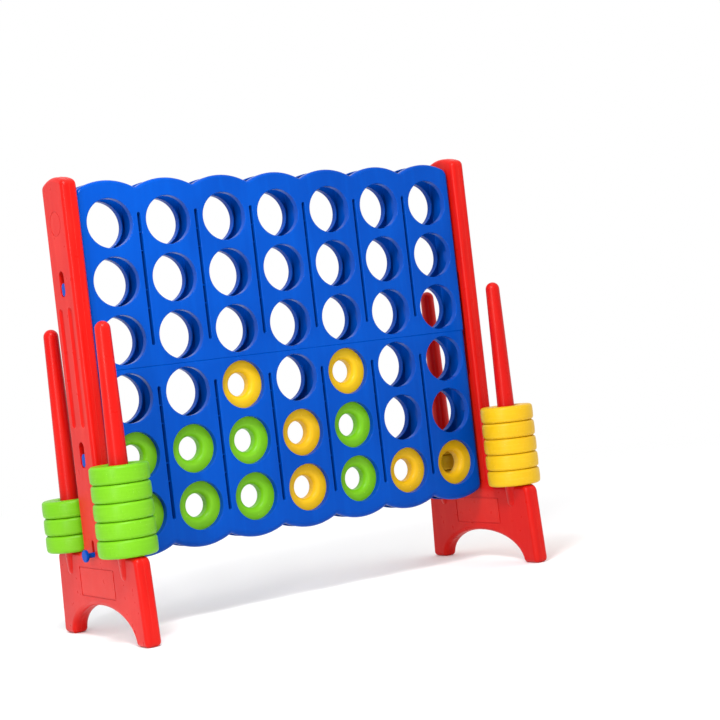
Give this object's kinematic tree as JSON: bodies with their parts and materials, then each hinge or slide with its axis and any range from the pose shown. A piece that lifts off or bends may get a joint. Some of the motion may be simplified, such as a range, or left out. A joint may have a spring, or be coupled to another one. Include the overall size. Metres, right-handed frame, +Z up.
{
  "type": "giant four in a row game",
  "caption": "Giant four-in-a-row lawn game: upright board with ring columns between two side frames, spare rings on ring posts, bottom release sliders.",
  "frame": {"origin": "on the floor, under the middle of the board", "axes": "+X along the board, +Y towards its rear face, +Z up"},
  "size_m": [1.249, 0.4544, 1.076],
  "materials": {
    "red_plastic": "satin moulded polyethylene",
    "blue_plastic": "satin moulded polyethylene",
    "green_plastic": "satin moulded polyethylene with fine speckle",
    "yellow_plastic": "satin moulded polyethylene with fine speckle"
  },
  "bodies": {
    "stand": {"left_side_frame": "red_plastic", "right_side_frame": "red_plastic", "left_front_ring_post": "red_plastic", "left_rear_ring_post": "red_plastic", "right_front_ring_post": "red_plastic", "right_rear_ring_post": "red_plastic"},
    "board": {"upper_front_shell": "blue_plastic", "upper_rear_shell": "blue_plastic", "lower_front_shell": "blue_plastic", "lower_rear_shell": "blue_plastic", "upper_end_walls": "blue_plastic", "lower_end_walls": "blue_plastic", "upper_dividers": "blue_plastic", "lower_dividers": "blue_plastic", "joining_pins": "blue_plastic", "left_upper_peg": "blue_plastic", "left_lower_peg": "blue_plastic", "right_upper_peg": "blue_plastic", "right_lower_peg": "blue_plastic"},
    "left_slider_body": {"left_slider": "blue_plastic", "left_pull_knob": "blue_plastic"},
    "right_slider_body": {"right_slider": "blue_plastic", "right_pull_knob": "blue_plastic"},
    "column_1_ring_1_green": {"column_1_ring_1_green": "green_plastic"},
    "column_1_ring_2_green": {"column_1_ring_2_green": "green_plastic"},
    "column_2_ring_1_green": {"column_2_ring_1_green": "green_plastic"},
    "column_2_ring_2_green": {"column_2_ring_2_green": "green_plastic"},
    "column_3_ring_1_green": {"column_3_ring_1_green": "green_plastic"},
    "column_3_ring_2_green": {"column_3_ring_2_green": "green_plastic"},
    "column_3_ring_3_yellow": {"column_3_ring_3_yellow": "yellow_plastic"},
    "column_4_ring_1_yellow": {"column_4_ring_1_yellow": "yellow_plastic"},
    "column_4_ring_2_yellow": {"column_4_ring_2_yellow": "yellow_plastic"},
    "column_5_ring_1_green": {"column_5_ring_1_green": "green_plastic"},
    "column_5_ring_2_green": {"column_5_ring_2_green": "green_plastic"},
    "column_5_ring_3_yellow": {"column_5_ring_3_yellow": "yellow_plastic"},
    "column_6_ring_1_yellow": {"column_6_ring_1_yellow": "yellow_plastic"},
    "column_7_ring_1_yellow": {"column_7_ring_1_yellow": "yellow_plastic"},
    "left_front_ring_1_green": {"left_front_ring_1_green": "green_plastic"},
    "left_front_ring_2_green": {"left_front_ring_2_green": "green_plastic"},
    "left_front_ring_3_green": {"left_front_ring_3_green": "green_plastic"},
    "left_front_ring_4_green": {"left_front_ring_4_green": "green_plastic"},
    "left_front_ring_5_green": {"left_front_ring_5_green": "green_plastic"},
    "left_rear_ring_1_green": {"left_rear_ring_1_green": "green_plastic"},
    "left_rear_ring_2_green": {"left_rear_ring_2_green": "green_plastic"},
    "left_rear_ring_3_green": {"left_rear_ring_3_green": "green_plastic"},
    "right_front_ring_1_yellow": {"right_front_ring_1_yellow": "yellow_plastic"},
    "right_front_ring_2_yellow": {"right_front_ring_2_yellow": "yellow_plastic"},
    "right_front_ring_3_yellow": {"right_front_ring_3_yellow": "yellow_plastic"},
    "right_front_ring_4_yellow": {"right_front_ring_4_yellow": "yellow_plastic"},
    "right_front_ring_5_yellow": {"right_front_ring_5_yellow": "yellow_plastic"},
    "right_rear_ring_1_yellow": {"right_rear_ring_1_yellow": "yellow_plastic"},
    "right_rear_ring_2_yellow": {"right_rear_ring_2_yellow": "yellow_plastic"},
    "right_rear_ring_3_yellow": {"right_rear_ring_3_yellow": "yellow_plastic"}
  },
  "joints": [
    {"name": "board_lift", "type": "slide", "parent": "stand", "child": "board", "axis": [0, 0, 1], "range_m": [0, 0.027]},
    {"name": "left_slider_pull", "type": "slide", "parent": "board", "child": "left_slider_body", "axis": [-1, 0, 0], "range_m": [0, 0.073]},
    {"name": "right_slider_pull", "type": "slide", "parent": "board", "child": "right_slider_body", "axis": [1, 0, 0], "range_m": [0, 0.073]},
    {"name": "column_1_ring_1_lift", "type": "slide", "parent": "board", "child": "column_1_ring_1_green", "axis": [0, 0, 1], "range_m": [0, 0.855]},
    {"name": "column_1_ring_2_lift", "type": "slide", "parent": "column_1_ring_1_green", "child": "column_1_ring_2_green", "axis": [0, 0, 1], "range_m": [0, 0.718]},
    {"name": "column_2_ring_1_lift", "type": "slide", "parent": "board", "child": "column_2_ring_1_green", "axis": [0, 0, 1], "range_m": [0, 0.855]},
    {"name": "column_2_ring_2_lift", "type": "slide", "parent": "column_2_ring_1_green", "child": "column_2_ring_2_green", "axis": [0, 0, 1], "range_m": [0, 0.718]},
    {"name": "column_3_ring_1_lift", "type": "slide", "parent": "board", "child": "column_3_ring_1_green", "axis": [0, 0, 1], "range_m": [0, 0.855]},
    {"name": "column_3_ring_2_lift", "type": "slide", "parent": "column_3_ring_1_green", "child": "column_3_ring_2_green", "axis": [0, 0, 1], "range_m": [0, 0.718]},
    {"name": "column_3_ring_3_lift", "type": "slide", "parent": "column_3_ring_2_green", "child": "column_3_ring_3_yellow", "axis": [0, 0, 1], "range_m": [0, 0.581]},
    {"name": "column_4_ring_1_lift", "type": "slide", "parent": "board", "child": "column_4_ring_1_yellow", "axis": [0, 0, 1], "range_m": [0, 0.855]},
    {"name": "column_4_ring_2_lift", "type": "slide", "parent": "column_4_ring_1_yellow", "child": "column_4_ring_2_yellow", "axis": [0, 0, 1], "range_m": [0, 0.718]},
    {"name": "column_5_ring_1_lift", "type": "slide", "parent": "board", "child": "column_5_ring_1_green", "axis": [0, 0, 1], "range_m": [0, 0.855]},
    {"name": "column_5_ring_2_lift", "type": "slide", "parent": "column_5_ring_1_green", "child": "column_5_ring_2_green", "axis": [0, 0, 1], "range_m": [0, 0.718]},
    {"name": "column_5_ring_3_lift", "type": "slide", "parent": "column_5_ring_2_green", "child": "column_5_ring_3_yellow", "axis": [0, 0, 1], "range_m": [0, 0.581]},
    {"name": "column_6_ring_1_lift", "type": "slide", "parent": "board", "child": "column_6_ring_1_yellow", "axis": [0, 0, 1], "range_m": [0, 0.855]},
    {"name": "column_7_ring_1_lift", "type": "slide", "parent": "board", "child": "column_7_ring_1_yellow", "axis": [0, 0, 1], "range_m": [0, 0.855]},
    {"name": "left_front_ring_1_lift", "type": "slide", "parent": "stand", "child": "left_front_ring_1_green", "axis": [0, 0, 1], "range_m": [0, 0.54]},
    {"name": "left_front_ring_2_lift", "type": "slide", "parent": "left_front_ring_1_green", "child": "left_front_ring_2_green", "axis": [0, 0, 1], "range_m": [0, 0.4987]},
    {"name": "left_front_ring_3_lift", "type": "slide", "parent": "left_front_ring_2_green", "child": "left_front_ring_3_green", "axis": [0, 0, 1], "range_m": [0, 0.4574]},
    {"name": "left_front_ring_4_lift", "type": "slide", "parent": "left_front_ring_3_green", "child": "left_front_ring_4_green", "axis": [0, 0, 1], "range_m": [0, 0.4161]},
    {"name": "left_front_ring_5_lift", "type": "slide", "parent": "left_front_ring_4_green", "child": "left_front_ring_5_green", "axis": [0, 0, 1], "range_m": [0, 0.3748]},
    {"name": "left_rear_ring_1_lift", "type": "slide", "parent": "stand", "child": "left_rear_ring_1_green", "axis": [0, 0, 1], "range_m": [0, 0.54]},
    {"name": "left_rear_ring_2_lift", "type": "slide", "parent": "left_rear_ring_1_green", "child": "left_rear_ring_2_green", "axis": [0, 0, 1], "range_m": [0, 0.4987]},
    {"name": "left_rear_ring_3_lift", "type": "slide", "parent": "left_rear_ring_2_green", "child": "left_rear_ring_3_green", "axis": [0, 0, 1], "range_m": [0, 0.4574]},
    {"name": "right_front_ring_1_lift", "type": "slide", "parent": "stand", "child": "right_front_ring_1_yellow", "axis": [0, 0, 1], "range_m": [0, 0.54]},
    {"name": "right_front_ring_2_lift", "type": "slide", "parent": "right_front_ring_1_yellow", "child": "right_front_ring_2_yellow", "axis": [0, 0, 1], "range_m": [0, 0.4987]},
    {"name": "right_front_ring_3_lift", "type": "slide", "parent": "right_front_ring_2_yellow", "child": "right_front_ring_3_yellow", "axis": [0, 0, 1], "range_m": [0, 0.4574]},
    {"name": "right_front_ring_4_lift", "type": "slide", "parent": "right_front_ring_3_yellow", "child": "right_front_ring_4_yellow", "axis": [0, 0, 1], "range_m": [0, 0.4161]},
    {"name": "right_front_ring_5_lift", "type": "slide", "parent": "right_front_ring_4_yellow", "child": "right_front_ring_5_yellow", "axis": [0, 0, 1], "range_m": [0, 0.3748]},
    {"name": "right_rear_ring_1_lift", "type": "slide", "parent": "stand", "child": "right_rear_ring_1_yellow", "axis": [0, 0, 1], "range_m": [0, 0.54]},
    {"name": "right_rear_ring_2_lift", "type": "slide", "parent": "right_rear_ring_1_yellow", "child": "right_rear_ring_2_yellow", "axis": [0, 0, 1], "range_m": [0, 0.4987]},
    {"name": "right_rear_ring_3_lift", "type": "slide", "parent": "right_rear_ring_2_yellow", "child": "right_rear_ring_3_yellow", "axis": [0, 0, 1], "range_m": [0, 0.4574]}
  ]
}
